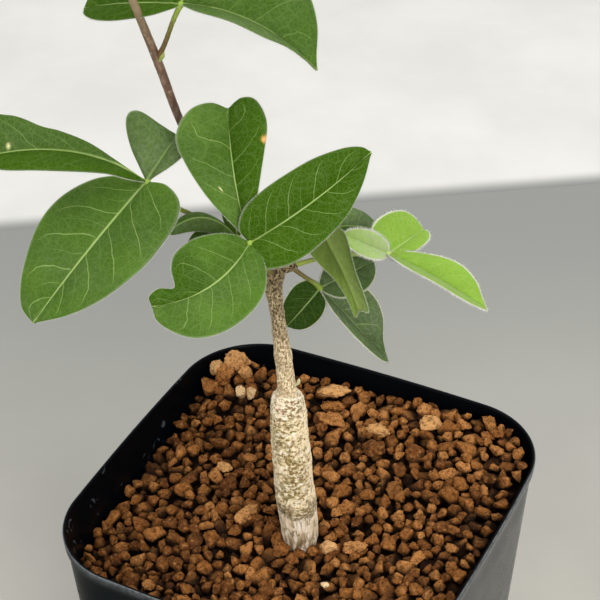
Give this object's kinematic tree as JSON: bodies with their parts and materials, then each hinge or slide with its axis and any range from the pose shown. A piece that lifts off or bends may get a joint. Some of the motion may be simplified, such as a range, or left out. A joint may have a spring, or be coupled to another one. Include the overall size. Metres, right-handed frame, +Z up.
{
  "type": "potted caudex tree",
  "caption": "Young caudex tree with a swollen stem, a slender leaning twig and three-part leaves, growing in clay grains in a square black plastic nursery pot.",
  "frame": {"origin": "middle of the pot's flat underside", "axes": "+Z up; X and Y along the sides of the square pot, and the plant's best side faces between +X and -Y, 27 degrees round from -Y"},
  "size_m": [0.1061, 0.0965, 0.2518],
  "materials": {
    "pot": "thin black moulded plastic, satin outside and glossy inside",
    "soil": "loose baked clay grains, brown to tan, matt",
    "bark": "pale grey-brown bark with a fine dark net and a smooth base",
    "twig": "smooth purple-brown young bark",
    "mature_leaf": "mid green leaf with pale veins and a fine pale hairy edge",
    "deep_leaf": "dark green leaf with pale veins",
    "young_leaf": "soft bright green young leaf with a white woolly edge"
  },
  "bodies": {
    "root": {"pot": "pot", "soil": "soil", "caudex": "bark", "twig": "twig", "leaf_front": "mature_leaf", "leaf_left": "mature_leaf", "leaf_back_left": "deep_leaf", "leaf_back_right": "deep_leaf", "leaf_young": "young_leaf", "leaf_low_right": "deep_leaf", "leaf_upper": "mature_leaf", "leaf_top_left": "mature_leaf", "leaf_top": "young_leaf"}
  },
  "joints": []
}
